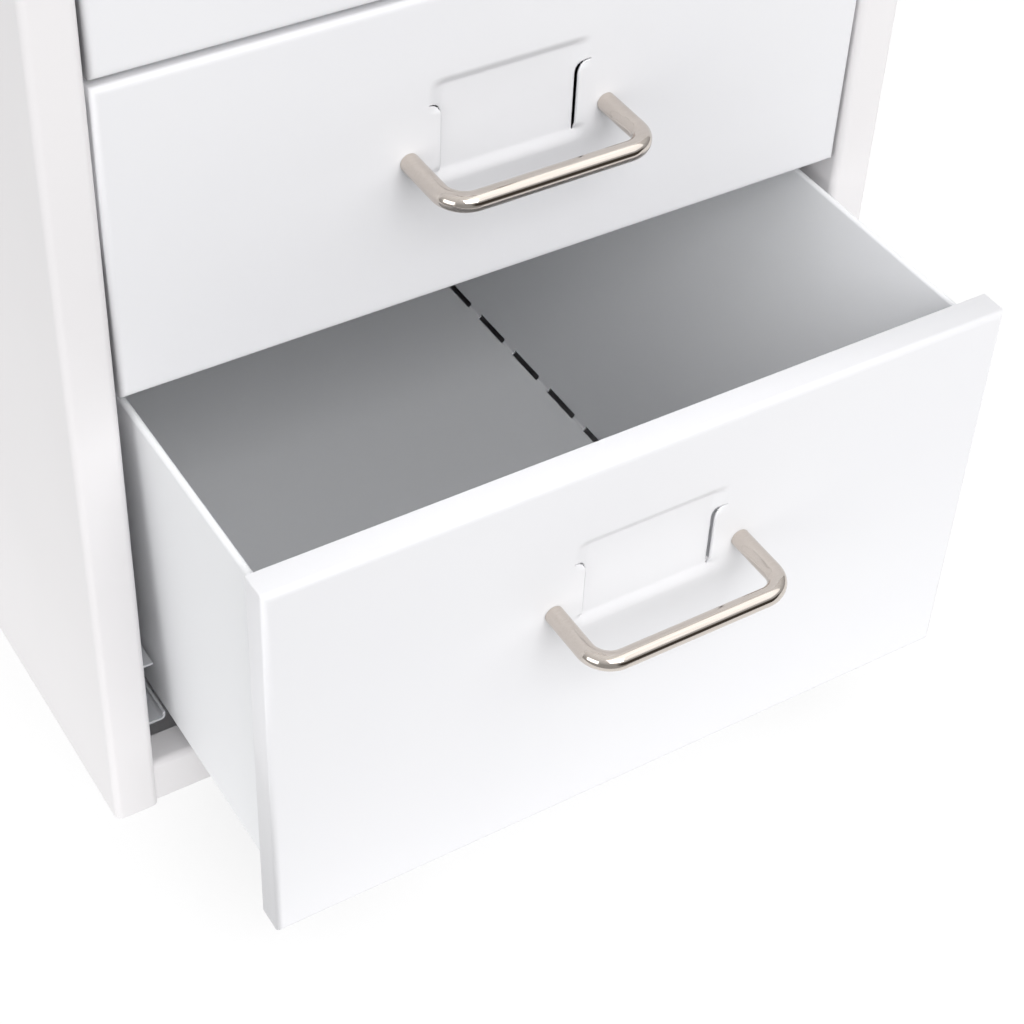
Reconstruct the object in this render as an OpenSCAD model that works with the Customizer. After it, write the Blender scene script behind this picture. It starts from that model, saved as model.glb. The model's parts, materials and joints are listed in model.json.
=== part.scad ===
// Small steel drawer cabinet: a folded sheet carcass with shallow drawers over one
// deep drawer. Each drawer is a tray folded from one sheet, with double sides, a
// pressed front and a wire handle, and slides on nylon glides in two channel runners.
// Millimetres, +Z up. The origin is the middle of the footprint, on the plane that
// the cabinet stands on. The drawers open towards -Y.

/* [Carcass] */
// Overall width over the side panels
cabinet_w = 280; // [270:1:400]
// Overall depth from the post faces to the rear flanges
cabinet_d = 410; // [405:1:520]
// Sheet thickness of the carcass
shell_t = 0.8; // [0.7:0.1:1.2]
// Radius of the carcass bends, on the middle of the sheet
shell_bend_r = 2; // [1.5:0.1:3]
// Width of the front posts' faces
post_w = 15; // [12:0.5:18]
// Depth of the posts' inner returns
post_return = 20; // [16:0.5:24]
// Width of the side panels' rear and top flanges
panel_flange = 15; // [12:0.5:20]
// Height of the folded rims of the base pan
pan_rim = 12; // [8:0.5:16]
// Width of the folded hem round the top panel
top_hem = 10; // [6:0.5:14]
// Depth of the rails' flanges
rail_flange = 12; // [8:0.5:16]
// How far the rails' faces lie behind the post faces
rail_recess = 1; // [0.5:0.1:2]
// Height of the front rail under the drawers, from the ground
base_rail_h = 18.5; // [14:0.5:26]
// Height of the front rail over the drawers
top_rail_h = 25; // [16:0.5:40]
// Space left between the two sheets of the top panel's hem
hem_space = 0.3; // [0.2:0.1:0.6]
// Clearance between carcass parts that slide into each other on assembly
fit_gap = 0.2; // [0.1:0.05:0.4]

/* [Castor holes] */
// Diameter of the holes for castor stems
castor_hole_d = 8.4; // [6.4:0.1:10.4]
// Distance from the cabinet's sides to the holes
castor_side = 24; // [20:1:60]
// Distance from the cabinet's front and back to the holes
castor_end = 40; // [26:1:80]
// Width across flats of the nuts over the holes
castor_nut_af = 14; // [13:0.5:17]
// Height of the nuts over the holes
castor_nut_h = 6.5; // [5:0.5:8]

/* [Drawer fronts] */
// Number of shallow drawers over the deep one
small_count = 4; // [1:1:5]
// Height of the deep drawer's front
large_front_h = 142; // [120:1:200]
// Height of a shallow drawer's front
small_front_h = 101; // [90:1:140]
// Gap between one front and the next
front_gap = 2; // [1.5:0.5:5]
// Gap between the base rail and the deep drawer's front
base_gap = 10.5; // [9:0.5:16]
// Gap between a front's side edge and the post
front_side_gap = 1; // [0.8:0.1:3]
// How far a closed front lies behind the post faces
front_recess = 1; // [0.5:0.1:2]
// Sheet thickness of the fronts
front_t = 0.8; // [0.7:0.1:1.2]
// Depth of the folded edges of a front
front_flange = 10; // [8:0.5:11]
// Radius of a front's folded edges, on the middle of the sheet
front_bend_r = 1.5; // [1.2:0.1:2]

/* [Label pocket] */
// Width of the pressed pocket
pocket_w = 53; // [44:1:60]
// Height of the pressed pocket
pocket_h = 34.5; // [30:0.5:38]
// Distance from the front's top edge to the pocket
pocket_drop = 27; // [22:1:30]
// Depth of the pocket
pocket_depth = 2; // [1.2:0.1:2.5]
// Width of the flaps that hold the card at its sides
flap_w = 3.9; // [2:0.1:5]
// Distance from the pocket's top edge to the flaps
flap_drop = 8; // [7:0.5:12]
// Width of the slits round the flaps
slit_w = 0.6; // [0.4:0.1:1.2]
// Height of the slope at the foot of the pocket
pocket_ramp = 4; // [3.5:0.5:8]

/* [Handles] */
// Diameter of the handle wire
wire_d = 6; // [5:0.5:8]
// Distance from the label pocket's side to the middle of a handle foot
handle_side = 6.2; // [5.6:0.1:30]
// How far the handle stands out of the front
handle_reach = 27.5; // [22:0.5:40]
// Bend radius of the wire, on its middle line
wire_bend_r = 8; // [6:0.5:12]
// Distance from the front's top edge to the handle
handle_drop = 51; // [45:1:60]
// Diameter of the handle screws
handle_screw_d = 3; // [2.5:0.5:4]
// Length of the handle screws in the wire
handle_screw_l = 8; // [6:0.5:12]
// Head diameter of the handle screws
handle_head_d = 7; // [6:0.5:9]
// Head height of the handle screws
handle_head_h = 2.2; // [1.5:0.1:3]

/* [Drawer trays] */
// Distance from the back panel to a closed tray
back_gap = 18; // [14:0.5:60]
// Sheet thickness of the trays
tray_t = 0.8; // [0.7:0.1:1.2]
// Bend radius at the foot of a tray's side, on the middle of the sheet
tray_bend_r = 1.4; // [1.2:0.1:2]
// Gap between a front's side edge and the tray's rim
tray_side_gap = 3.5; // [2:0.5:4]
// Lean of the tray's outer sides from upright, in degrees
tray_lean = 2; // [0:0.5:4]
// Lean of the tray's inner sides from upright, in degrees
inner_lean = 17.25; // [8:0.25:20]
// Height of the tray's floor over the front's lower edge
tray_rise = 2; // [1.5:0.5:3]
// Distance from the front's top edge down to the tray's rim
rim_drop = 7; // [4:0.5:10]
// Space between the inner and outer side where they are folded at the rim
rim_space = 0.6; // [0.4:0.1:1]
// Width of the lip under an outer side
foot_lip = 8; // [5:0.5:12]
// Distance from the rim down to the top of the tray's back
back_drop = 10; // [5:1:30]
// Height of the floor's flange behind the front
tray_flange = 9; // [6:0.5:12]
// Length of the slots along the folds of the floor
slot_l = 17.6; // [12:0.1:22]
// Distance from one slot to the next
slot_pitch = 25.2; // [24:0.1:34]
// Width of the slots, half in the floor and half in the inner side
slot_w = 2.4; // [1.6:0.1:4]
// Distance from the tray's front edge to the first slot
slot_start = 25.9; // [10:0.1:40]

/* [Runners and glides] */
// Sheet thickness of the runners
runner_t = 1; // [0.8:0.1:1.2]
// Width of a runner's lower flange, over the web
runner_w = 24; // [22:0.5:26]
// Clearance from a tray's side to the runner's upper flange
runner_gap = 1.2; // [0.8:0.1:2]
// Outside height of a runner
runner_h = 28; // [24:0.5:32]
// Gap between the runners and the closed fronts' folded edges
runner_setback = 1.5; // [0.5:0.1:3]
// Clearance round the runners in the notches of the posts' returns
notch_gap = 0.5; // [0.2:0.1:1]
// Distance from a front's lower edge down to its runners
runner_drop = 4.5; // [4:0.5:6]
// Height of the lip along the lower flange
runner_lip = 2.5; // [2:0.5:4]
// Width of the stops at the runner's ends
stop_w = 12; // [9:0.5:14]
// Clearance from a tray's underside to those stops
stop_gap = 0.5; // [0.3:0.1:1]
// Running clearance round a glide in its runner
glide_gap = 0.3; // [0.2:0.05:0.5]
// Length of a glide
glide_l = 22; // [16:1:30]
// Distance between the two glides of one side, centre to centre
glide_pitch = 72; // [50:1:100]
// Clearance from a glide's foot to the runner's lip and to the tray's foot
neck_gap = 1; // [0.6:0.1:1.5]
// Diameter of the glides' rivets
rivet_d = 4; // [3:0.5:5]
// Head diameter of the glides' rivets
rivet_head_d = 8; // [7:0.5:10]
// Head height of the glides' rivets
rivet_head_h = 1.4; // [1:0.1:2]
// Length of a rivet in its glide
rivet_l = 9; // [6:0.5:12]
// Clearance round rivets and screws, on the diameter
shank_gap = 0.2; // [0.1:0.05:0.4]

/* [Back screws] */
// Number of screws in each rear flange
screw_rows = 4; // [2:1:6]
// Diameter of the screws
screw_d = 3.9; // [3:0.1:5]
// Length of the screws under the head
screw_l = 8; // [5:0.5:12]
// Head diameter of the screws
screw_head_d = 7.5; // [6:0.5:9]
// Head height of the screws
screw_head_h = 2.2; // [1.5:0.1:3]
// Distance from the cabinet's ends to the first and last screw
screw_end = 45; // [30:1:80]

/* [Drawer opening] */
// How far the deep drawer stands open
deep_open = 86; // [0:1:200]

/* [Hidden] */
$fn = 48;
// Straight steps that each bend of a sheet is drawn with
bend_steps = 5;
// Length by which a cut runs past the sheet that it goes through
cut_over = 1;

drawer_count = small_count + 1;
drawers = [1 : drawer_count];
front_y = -cabinet_d / 2;
back_y = cabinet_d / 2;

// Places of the fronts, counted upwards from the deep drawer, which is number 1
function front_h(i) = i == 1 ? large_front_h : small_front_h;
function front_z(i) =
    i == 1 ? base_rail_h + base_gap
           : front_z(1) + large_front_h + front_gap + (i - 2) * (small_front_h + front_gap);

// Hems take two sheets and the space between them
top_t = 2 * shell_t + hem_space;
top_rail_z = front_z(drawer_count) + front_h(drawer_count) + front_gap;
panel_h = top_rail_z + top_rail_h;
cabinet_h = panel_h + top_t;

inside_x = cabinet_w / 2 - shell_t;
inside_y = back_y - 2 * shell_t;
opening_x = cabinet_w / 2 - post_w;
front_x = opening_x - front_side_gap;
face_y = front_y + front_recess;

// The tray: its ends, its outside half width at the rim, and its height
tray_y = face_y + front_t;
tray_back = inside_y - back_gap;
tray_l = tray_back - tray_y;
rim_x = front_x - tray_side_gap;
function tray_z(i) = front_z(i) + tray_rise;
function tray_h(i) = front_h(i) - tray_rise - rim_drop;
function open_by(i) = i == 1 ? deep_open : 0;

// Outside half width of tray i at height h over its floor's underside
function tray_x(i, h) = rim_x - (tray_h(i) - h) * tan(tray_lean);
// Half widths at that height to the middle of the outer and of the inner sheet
function outer_x(i, h) = tray_x(i, h) - tray_t / 2 / cos(tray_lean);
function inner_x(i, h) =
    rim_x - 1.5 * tray_t - rim_space - (tray_h(i) - tray_t / 2 - h) * tan(inner_lean);
rim_bend_r = (tray_t + rim_space) * 0.4;

// The runners start behind the closed fronts and end in a stop behind the tray
function runner_z(i) = front_z(i) - runner_drop;
runner_y = face_y + front_flange + runner_setback;
runner_back = tray_back + glide_gap + runner_t;
runner_lip_x = inside_x - runner_w;
stop_h = runner_drop + tray_rise - stop_gap;
// Inner edge of the upper flange of drawer i's runners
function runner_x(i) = tray_x(i, runner_h - runner_drop - tray_rise) + runner_gap;

// Heights over the runner's underside: the glide's foot, neck and top
glide_foot = runner_t + glide_gap;
glide_top = runner_h - runner_t - glide_gap;
glide_neck = runner_drop + tray_rise + 2 * tray_bend_r + tray_t;
glide_out_x = inside_x - runner_t - 2 * glide_gap;
function glide_neck_x(i) =
    max(runner_lip_x + runner_t, tray_x(i, glide_neck - runner_drop - tray_rise)) + neck_gap;
rear_glide_y = tray_back - glide_l / 2;
glide_ys = [rear_glide_y - glide_pitch, rear_glide_y];
rivet_z = (glide_neck + glide_top) / 2;
handle_x = pocket_w / 2 + handle_side;

function unit(v) = v / norm(v);
function turned(v, a) = [v.x * cos(a) - v.y * sin(a), v.x * sin(a) + v.y * cos(a)];
function left_of(v) = unit([-v.y, v.x]);

// Points of a bend of radius r at p, on the way from a to b
function bend(a, p, b, r) =
    let (
        u = unit(a - p),
        w = unit(b - p),
        half = acos(u * w) / 2,
        centre = p + unit(u + w) * r / sin(half),
        from = p + u * r / tan(half) - centre,
        to = p + w * r / tan(half) - centre,
        sweep = sign(cross(from, to)) * (180 - 2 * half)
    )
    [for (k = [0 : bend_steps]) centre + turned(from, sweep * k / bend_steps)];

// The line through pts with its corners bent to radius r, or each to its own radius
function bent_line(pts, r) =
    let (last = len(pts) - 1)
    concat([pts[0]],
           [for (k = [1 : last - 1])
               each bend(pts[k - 1], pts[k], pts[k + 1], is_list(r) ? r[k - 1] : r)],
           [pts[last]]);

// Point k of a line, moved sideways by d
function beside(line, k, d) =
    let (
        last = len(line) - 1,
        before = left_of(k > 0 ? line[k] - line[k - 1] : line[1] - line[0]),
        after = left_of(k < last ? line[k + 1] - line[k] : line[last] - line[last - 1]),
        m = unit(before + after)
    )
    line[k] + m * d / (m * before);

// Outline of a sheet of thickness t whose middle follows the line
module sheet_outline(line, t) {
    last = len(line) - 1;
    polygon(concat([for (k = [0 : last]) beside(line, k, t / 2)],
                   [for (k = [last : -1 : 0]) beside(line, k, -t / 2)]));
}

// Extrudes an outline drawn in x and z along Y, from y0 to y1
module along_y(y0, y1) {
    translate([0, y1, 0]) rotate([90, 0, 0]) linear_extrude(y1 - y0) children();
}

// Extrudes an outline drawn in y and z along X, from -x to x
module along_x(x) {
    translate([-x, 0, 0]) rotate([90, 0, 90]) linear_extrude(2 * x) children();
}

// A box between two corners
module block(low, high) {
    translate(low) cube(high - low);
}

// A round bar along Y, from y0 to y1
module bar_y(d, y0, y1) {
    translate([0, y1, 0]) rotate([90, 0, 0]) cylinder(d = d, h = y1 - y0);
}

module both_sides() {
    children();
    mirror([1, 0, 0]) children();
}

// ---- Carcass ----

screw_zs = [for (k = [0 : screw_rows - 1])
    screw_end + k * (panel_h - 2 * screw_end) / (screw_rows - 1)];
screw_x = inside_x - panel_flange / 2;

// Where the back screws go, on the outer face of the rear flanges
module at_back_screws() {
    for (z = screw_zs) both_sides() translate([screw_x, back_y, z]) children();
}

// The right side panel: the wall, folded round at the front into a post, whose return is
// notched for the runners, and at the back and the top into flanges
module side_panel() {
    m = shell_t / 2;
    wall = cabinet_w / 2 - m;
    difference() {
        union() {
            linear_extrude(panel_h)
                sheet_outline(bent_line([
                    [opening_x + m, front_y + post_return],
                    [opening_x + m, front_y + m],
                    [wall, front_y + m],
                    [wall, back_y - m],
                    [inside_x - panel_flange, back_y - m]], shell_bend_r), shell_t);
            block([inside_x - panel_flange, front_y + post_return, panel_h - shell_t],
                  [inside_x + m, back_y - m, panel_h]);
        }
        at_back_screws() bar_y(screw_d + shank_gap, -shell_t - cut_over, cut_over);
        for (i = drawers)
            block([opening_x - cut_over, runner_y - notch_gap, runner_z(i) - notch_gap],
                  [opening_x + shell_t + cut_over, front_y + post_return + cut_over,
                   runner_z(i) + runner_h + notch_gap]);
    }
}

// The back, between the bends of the side panels and inside their rear flanges
module back_panel() {
    x = inside_x - shell_bend_r + shell_t / 2 - fit_gap;
    color("#EDEDF0") difference() {
        block([-x, inside_y, fit_gap], [x, back_y - shell_t, panel_h - shell_t - fit_gap]);
        at_back_screws() bar_y(screw_d + shank_gap, -2 * shell_t - cut_over, cut_over);
    }
}

module back_screws() {
    color("silver") at_back_screws() {
        bar_y(screw_head_d, 0, screw_head_h);
        bar_y(screw_d, -screw_l, 0);
    }
}

// The top: a sheet with its edges folded under, lying on the panels' top flanges
module top_panel() {
    color("#EDEDF0") translate([0, 0, panel_h]) difference() {
        block([-cabinet_w / 2, front_y, 0], [cabinet_w / 2, back_y, top_t]);
        block([top_hem - cabinet_w / 2, front_y + top_hem, -cut_over],
              [cabinet_w / 2 - top_hem, back_y - top_hem, top_t - shell_t]);
        block([shell_t - cabinet_w / 2, front_y + shell_t, shell_t],
              [cabinet_w / 2 - shell_t, back_y - shell_t, shell_t + hem_space]);
    }
}

// The pan that the cabinet stands on: rims along the side and back panels, and a
// tongue between the posts, up to the front rail
module base_pan() {
    x = inside_x - fit_gap;
    y0 = front_y + post_return + fit_gap;
    y1 = inside_y - fit_gap;
    color("#E6E6EA") difference() {
        union() {
            block([-x, y0, 0], [x, y1, pan_rim]);
            block([fit_gap - opening_x, front_y + rail_recess + rail_flange + fit_gap, 0],
                  [opening_x - fit_gap, y0 + shell_t, shell_t]);
        }
        block([shell_t - x, y0 - cut_over, shell_t],
              [x - shell_t, y1 - shell_t, pan_rim + cut_over]);
        at_castor_holes() translate([0, 0, -cut_over])
            cylinder(d = castor_hole_d, h = shell_t + 2 * cut_over);
    }
}

module at_castor_holes() {
    for (x = [-1, 1], y = [-1, 1])
        translate([x * (cabinet_w / 2 - castor_side), y * (cabinet_d / 2 - castor_end), 0])
            children();
}

module castor_nuts() {
    color("silver") translate([0, 0, shell_t]) at_castor_holes() difference() {
        cylinder(d = castor_nut_af / cos(30), h = castor_nut_h, $fn = 6);
        translate([0, 0, -cut_over]) cylinder(d = castor_hole_d, h = castor_nut_h + 2 * cut_over);
    }
}

// A front rail between the posts, from z0 up to z1: a face with two flanges behind it
module rail(z0, z1) {
    m = shell_t / 2;
    y0 = front_y + rail_recess + m;
    y1 = front_y + rail_recess + rail_flange;
    along_x(opening_x) sheet_outline(bent_line([
        [y1, z0 + m], [y0, z0 + m], [y0, z1 - m], [y1, z1 - m]], shell_bend_r), shell_t);
}

module base_rail() {
    color("#E8E8EC") rail(0, base_rail_h);
}

module top_rail() {
    color("#E8E8EC") rail(top_rail_z, panel_h);
}

// ---- Runners ----

// The right runner of drawer i: a channel open towards the drawer, with a lip along
// its lower flange and a stop at each end
module runner(i) {
    m = runner_t / 2;
    z = runner_z(i);
    color("#C9CACD") {
        along_y(runner_y, runner_back) translate([0, z])
            sheet_outline([
                [runner_lip_x + m, runner_t + runner_lip],
                [runner_lip_x + m, m],
                [inside_x - m, m],
                [inside_x - m, runner_h - m],
                [runner_x(i), runner_h - m]], runner_t);
        for (y = [runner_y, runner_back - runner_t])
            block([inside_x - stop_w, y, z], [inside_x, y + runner_t, z + stop_h]);
    }
}

// ---- Drawers ----

// Front i: a sheet folded back along its four edges, which meet at the corners, with a
// pressed label pocket
module drawer_front(i) {
    pocket_z = front_z(i) + front_h(i) - pocket_drop;
    color("#EFEFF2") difference() {
        union() {
            difference() {
                front_box(i, 0);
                front_box(i, front_t);
                pocket_window(pocket_z);
            }
            pocket_pan(pocket_z);
        }
        at_handle_feet(i) bar_y(handle_screw_d + shank_gap, -cut_over, front_t + cut_over);
    }
}

// The box that front i fills with its folded edges, with its sides moved inwards by d
module front_box(i, d) {
    x = front_x - d;
    y = face_y + d;
    z0 = front_z(i) + d;
    z1 = front_z(i) + front_h(i) - d;
    back = face_y + front_flange + (d > 0 ? cut_over : 0);
    r = front_bend_r + front_t / 2 - d;
    intersection() {
        along_x(x) polygon(bent_line([[back, z0], [y, z0], [y, z1], [back, z1]], r));
        translate([0, 0, z0]) linear_extrude(z1 - z0)
            polygon(bent_line([[-x, back], [-x, y], [x, y], [x, back]], r));
    }
}

flap_x = pocket_w / 2 - flap_w;
// Width of the pressed sheet's edge that lies in the sheet of the face
pan_edge = 2.4;

// The cut in the face for a pocket whose top edge is at z, with the flaps left standing
module pocket_window(z) {
    block([-flap_x, face_y - cut_over, z - pocket_h],
          [flap_x, face_y + front_t + cut_over, z]);
    block([-pocket_w / 2, face_y - cut_over, z - flap_drop],
          [pocket_w / 2, face_y + front_t + cut_over, z]);
}

// The pressed sheet in that cut: a slope at its foot, a floor, and steps at its top and sides
module pocket_pan(z) {
    m = front_t / 2;
    y = face_y + m;
    step = pocket_depth;
    top = [[y, z + pan_edge], [y, z], [y + step, z - step]];
    along_x(flap_x - slit_w) sheet_outline(concat(
        top, [[y + step, z - pocket_h + pocket_ramp], [y, z - pocket_h], [y, z - pocket_h - pan_edge]]),
        front_t);
    along_x(pocket_w / 2) sheet_outline(concat(
        top, [[y + step, z - flap_drop + slit_w]]), front_t);
    both_sides() translate([0, 0, z - flap_drop + slit_w]) linear_extrude(flap_drop - slit_w)
        sheet_outline([
            [pocket_w / 2 + pan_edge, y], [pocket_w / 2, y], [pocket_w / 2 - step, y + step],
            [flap_x - 2 * slit_w, y + step]], front_t);
}

// Where the handle's feet meet the face of front i
module at_handle_feet(i) {
    z = front_z(i) + front_h(i) - handle_drop;
    both_sides() translate([handle_x, face_y, z]) children();
}

// The tray, all of one sheet: the floor, slotted along its folds, the inner sides that
// slope up to the rims, and the outer sides that come down from the rims to a lip. It
// has a back, and is closed behind the front by webs between its sides and by a flange.
module drawer_tray(i) {
    m = tray_t / 2;
    h = tray_h(i);
    z = tray_z(i);
    fold = inner_x(i, m);
    rim = h - m;
    back_h = h - back_drop;
    color("#D9D9DC") difference() {
        union() {
            along_y(tray_y, tray_back) translate([0, z]) {
                sheet_outline(bent_line([
                    [-inner_x(i, rim), rim], [-fold, m], [fold, m], [inner_x(i, rim), rim]],
                    tray_bend_r), tray_t);
                both_sides() sheet_outline(bent_line([
                    [inner_x(i, rim - foot_lip), rim - foot_lip],
                    [inner_x(i, rim), rim],
                    [outer_x(i, rim), rim],
                    [outer_x(i, m), m],
                    [outer_x(i, m) - foot_lip, m]],
                    [rim_bend_r, rim_bend_r, tray_bend_r]), tray_t);
            }
            along_y(tray_back - tray_t, tray_back) translate([0, z]) polygon([
                [-outer_x(i, m), m], [outer_x(i, m), m],
                [outer_x(i, back_h), back_h], [-outer_x(i, back_h), back_h]]);
            along_y(tray_y, tray_y + tray_t) translate([0, z]) {
                both_sides() polygon([
                    [fold, m], [outer_x(i, m), m], [outer_x(i, rim), rim],
                    [inner_x(i, rim), rim]]);
                translate([-fold, m]) square([2 * fold, tray_flange]);
            }
        }
        both_sides() {
            for (y = [slot_start : slot_pitch : tray_l - slot_l - slot_start])
                block([fold - slot_w / 2, tray_y + y, z - cut_over],
                      [fold + slot_w / 2, tray_y + y + slot_l, z + tray_t + slot_w / 2]);
            at_rivets(i) translate([0, 0, -tray_t - cut_over])
                cylinder(d = rivet_d + shank_gap, h = tray_t + 2 * cut_over);
        }
    }
}

module handle(i) {
    leg = handle_reach - wire_d / 2 - wire_bend_r;
    bar = handle_x - wire_bend_r;
    color("#C8BFB4") translate([0, face_y, front_z(i) + front_h(i) - handle_drop]) difference() {
        union() {
            both_sides() {
                translate([handle_x, 0, 0]) bar_y(wire_d, -leg, 0);
                translate([bar, -leg, 0]) rotate([0, 0, -90])
                    rotate_extrude(angle = 90) translate([wire_bend_r, 0]) circle(d = wire_d);
            }
            translate([-bar, -leg - wire_bend_r, 0]) rotate([0, 90, 0])
                cylinder(d = wire_d, h = 2 * bar);
        }
        both_sides() translate([handle_x, 0, 0])
            bar_y(handle_screw_d + shank_gap, -handle_screw_l - cut_over, cut_over);
    }
}

module handle_screws(i) {
    color("silver") at_handle_feet(i) {
        bar_y(handle_screw_d, -handle_screw_l, front_t);
        bar_y(handle_head_d, front_t, front_t + handle_head_h);
    }
}

// The rivets of drawer i on its right side: origin on the tray's outer face, local Z
// pointing out of the wall
module at_rivets(i) {
    z = runner_z(i) + rivet_z;
    for (y = glide_ys)
        translate([tray_x(i, z - tray_z(i)), y, z]) rotate([0, 90 + tray_lean, 0]) children();
}

// Nylon blocks: a body that fills the runner and a neck, over the lip, to the tray's side
module glides(i) {
    z = runner_z(i);
    high = z + glide_top;
    neck = z + glide_neck;
    color("#F2F2EC") both_sides() difference() {
        for (y = glide_ys) along_y(y - glide_l / 2, y + glide_l / 2) polygon([
            [tray_x(i, neck - tray_z(i)), neck],
            [tray_x(i, high - tray_z(i)), high],
            [glide_out_x, high],
            [glide_out_x, z + glide_foot],
            [glide_neck_x(i), z + glide_foot],
            [glide_neck_x(i), neck]]);
        at_rivets(i) translate([0, 0, -cut_over])
            cylinder(d = rivet_d + shank_gap, h = rivet_l + 2 * cut_over);
    }
}

module rivets(i) {
    color("silver") both_sides() at_rivets(i) {
        translate([0, 0, -tray_t]) cylinder(d = rivet_d, h = tray_t + rivet_l);
        translate([0, 0, -tray_t - rivet_head_h])
            cylinder(d1 = rivet_head_d * 0.6, d2 = rivet_head_d, h = rivet_head_h);
    }
}

// Moves a drawer's parts to where the drawer stands
module opened(i) {
    translate([0, -open_by(i), 0]) children();
}

color("#ECEAEB") mirror([1, 0, 0]) side_panel();  // left_side_panel
color("#ECEAEB") side_panel();  // right_side_panel
back_panel();
top_panel();
base_pan();
base_rail();
top_rail();
castor_nuts();
back_screws();
for (i = drawers) {
    opened(i) drawer_front(i);
    opened(i) drawer_tray(i);
    opened(i) handle(i);
    opened(i) handle_screws(i);
    opened(i) glides(i);
    opened(i) rivets(i);
    mirror([1, 0, 0]) runner(i);
    runner(i);
}
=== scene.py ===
# %% [markdown]
# # A steel drawer cabinet
#
# The cabinet comes in as exact solids with its drawers on their slides. This lesson
# gives each solid its real finish, and remakes the folded sheets, pressed fronts, wire
# handles and screws with the soft bends and domes that their tools leave.

# %% Load the frame
import json
import math
import bmesh
import bpy
from mathutils import Matrix, Vector


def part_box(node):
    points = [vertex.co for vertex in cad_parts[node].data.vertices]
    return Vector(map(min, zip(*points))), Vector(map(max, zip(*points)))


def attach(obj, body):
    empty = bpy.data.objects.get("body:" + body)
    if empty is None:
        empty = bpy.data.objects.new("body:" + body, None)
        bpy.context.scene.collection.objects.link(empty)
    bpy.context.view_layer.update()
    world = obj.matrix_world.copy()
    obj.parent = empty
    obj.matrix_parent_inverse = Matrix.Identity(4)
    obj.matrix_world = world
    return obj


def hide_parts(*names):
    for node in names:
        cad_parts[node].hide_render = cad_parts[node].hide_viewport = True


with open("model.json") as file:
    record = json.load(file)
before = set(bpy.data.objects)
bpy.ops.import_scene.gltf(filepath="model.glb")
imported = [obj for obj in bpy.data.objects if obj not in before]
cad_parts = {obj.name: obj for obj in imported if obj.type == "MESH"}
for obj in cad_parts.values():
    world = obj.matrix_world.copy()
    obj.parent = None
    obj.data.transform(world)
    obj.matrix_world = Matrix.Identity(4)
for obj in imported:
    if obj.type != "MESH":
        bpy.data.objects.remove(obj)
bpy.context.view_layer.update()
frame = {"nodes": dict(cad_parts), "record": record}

MM = 0.001
TOUCH = 1e-6             # metres within which two places count as one
print("nodes in the frame:", len(frame["nodes"]))

# %% [markdown]
# ## Small helpers
#
# A shader wants linear colour, but people read colours as sRGB hex values, so one
# function turns the one into the other. Another adds a shader node, sets what it is
# given and links what it is given, which keeps each material readable as a recipe.

# %% Colour and node helpers
def linear(hex_colour):
    """An sRGB hex colour, such as "#F4F4F2", as linear RGBA."""
    channels = [int(hex_colour[i:i + 2], 16) / 255 for i in (1, 3, 5)]
    return [c / 12.92 if c <= 0.04045 else ((c + 0.055) / 1.055) ** 2.4 for c in channels] + [1]


def add(tree, kind, links=None, **settings):
    """Adds a node. A setting names a property or an input, and a link an input."""
    node = tree.nodes.new(kind)
    for key, value in settings.items():
        if hasattr(node, key):
            setattr(node, key, value)
        else:
            node.inputs[key.replace("_", " ")].default_value = value
    for key, source in (links or {}).items():
        tree.links.new(source, node.inputs[key])
    return node


def blank_finish(name):
    """A new material, with its node tree and its shader."""
    finish = bpy.data.materials.new(name)
    finish.use_nodes = True
    return finish, finish.node_tree, finish.node_tree.nodes["Principled BSDF"]


print("mid grey in linear light:", round(linear("#808080")[0], 3))

# %% [markdown]
# ## Camera
#
# The camera stands a little left of the cabinet, high above it, and looks down into
# the open drawer. Its place and turn are those of a long lens about half a metre
# from the drawers, so nearer edges spread and the upright edges lean together.

# %% Place the camera
CAMERA_AT = Vector((-0.29755, -0.66563, 0.59237))
AZIMUTH = math.radians(-33.504)
ELEVATION = math.radians(43.323)
ROLL = math.radians(3.156)
FOCAL_PIXELS, PICTURE_PIXELS = 2296.97, 1024     # length of the lens, width of a frame
SENSOR = 36              # millimetres, as every lens length is in Blender
NEAR_CLIP = 10 * MM

back = Vector((math.sin(AZIMUTH) * math.cos(ELEVATION),
               -math.cos(AZIMUTH) * math.cos(ELEVATION),
               math.sin(ELEVATION)))
level = (-back).cross(Vector((0, 0, 1))).normalized()
plumb = level.cross(-back)
right = level * math.cos(ROLL) + plumb * math.sin(ROLL)
up = -level * math.sin(ROLL) + plumb * math.cos(ROLL)

lens = bpy.data.cameras.new("camera")
lens.sensor_width = SENSOR
lens.lens = FOCAL_PIXELS / PICTURE_PIXELS * SENSOR
lens.clip_start = NEAR_CLIP
camera = bpy.data.objects.new("camera", lens)
bpy.context.scene.collection.objects.link(camera)
camera.matrix_world = Matrix((right, up, back)).transposed().to_4x4()
camera.location = CAMERA_AT
bpy.context.scene.camera = camera
print("lens in mm:", round(lens.lens, 2))

# %% [markdown]
# ## Light
#
# White goods are shown in a bright, soft room. A dome of white light alone would do
# for the paint, but a polished wire needs something dark to mirror as well, or it looks
# like plastic. So the room is white, brightest overhead, with one dark patch on its
# front wall, to the right, where the handles mirror it as a thin line.

# %% Room
ROOM_STRENGTH = 1.02
HORIZON_WHITE, ZENITH_WHITE = "#ABABAB", "#FFFFFF"
DARK_PATCH = "#453F39"
PATCH_TOWARDS = (0.46, -0.888, 0)    # from the cabinet to the middle of the patch
PATCH_END, PATCH_FULL = 0.78, 0.9    # cosines of the angles where it ends and is full
PATCH_LOW, PATCH_HIGH = -0.3, 0.2    # sines of the heights between which it lies
PATCH_BLUR = 0.12

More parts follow.
